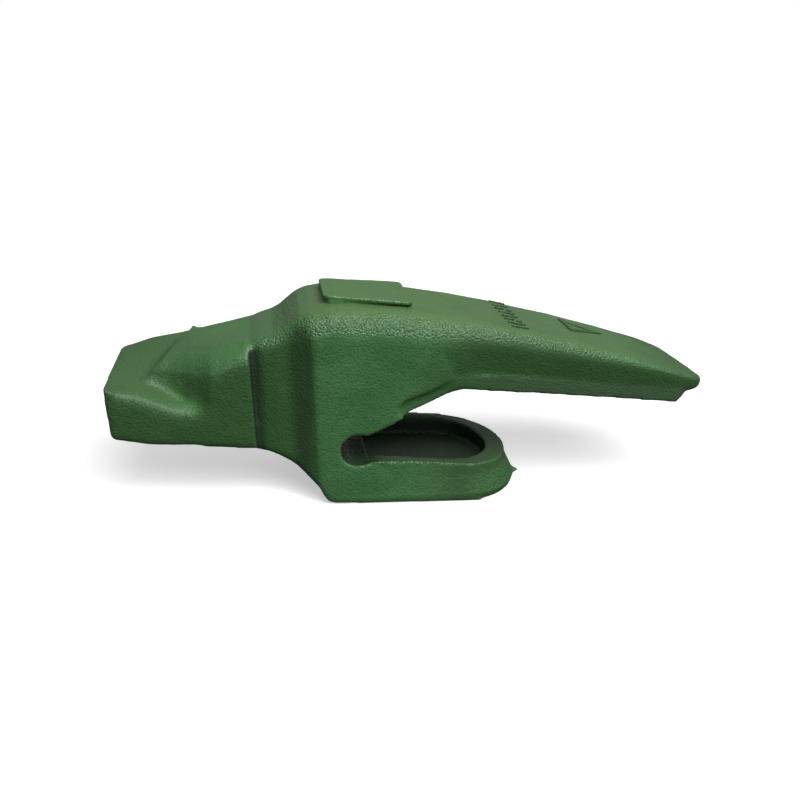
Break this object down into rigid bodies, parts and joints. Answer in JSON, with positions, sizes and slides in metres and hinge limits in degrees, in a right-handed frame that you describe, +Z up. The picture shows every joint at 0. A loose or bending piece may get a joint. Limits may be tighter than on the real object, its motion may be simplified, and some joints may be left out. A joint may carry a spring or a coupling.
{
  "type": "bucket tooth adapter",
  "caption": "Weld-on two-strap adapter for an excavator bucket tooth: twist-on nose, long top strap, short looped bottom leg and a slot between them for the bucket lip.",
  "frame": {"origin": "centre of the bounding box in plan, on the plane of the leg's flat sole", "axes": "+X from the nose towards the tail of the top strap, +Y across the casting, +Z up from the sole to the crown"},
  "size_m": [0.383, 0.088, 0.1325],
  "materials": {
    "cast_paint": "semi-gloss green paint over a coarse sand-cast steel skin",
    "leg_paint": "semi-gloss green paint, scuffed on the sides, darker in the pocket",
    "pad_paint": "smoother green paint on the flat pad",
    "mark_paint": "green paint on raised cast marks, dirt at their feet"
  },
  "bodies": {
    "root": {"cast_emblem": "mark_paint", "cast_mark_1": "mark_paint", "cast_mark_2": "mark_paint", "cast_mark_3": "mark_paint", "cast_mark_4": "mark_paint", "cast_mark_5": "mark_paint", "cast_mark_6": "mark_paint", "cast_mark_7": "mark_paint", "cast_mark_8": "mark_paint", "crotch_block": "cast_paint", "crown_block": "cast_paint", "crown_pad": "pad_paint", "heel_block": "cast_paint", "leg_floor": "leg_paint", "leg_rail_left": "leg_paint", "leg_rail_right": "leg_paint", "leg_round_end": "leg_paint", "nose_root": "cast_paint", "nose_tip": "cast_paint", "strap_foot": "cast_paint", "strap_tip": "cast_paint", "throat_neck": "cast_paint", "top_strap": "cast_paint"}
  },
  "joints": []
}
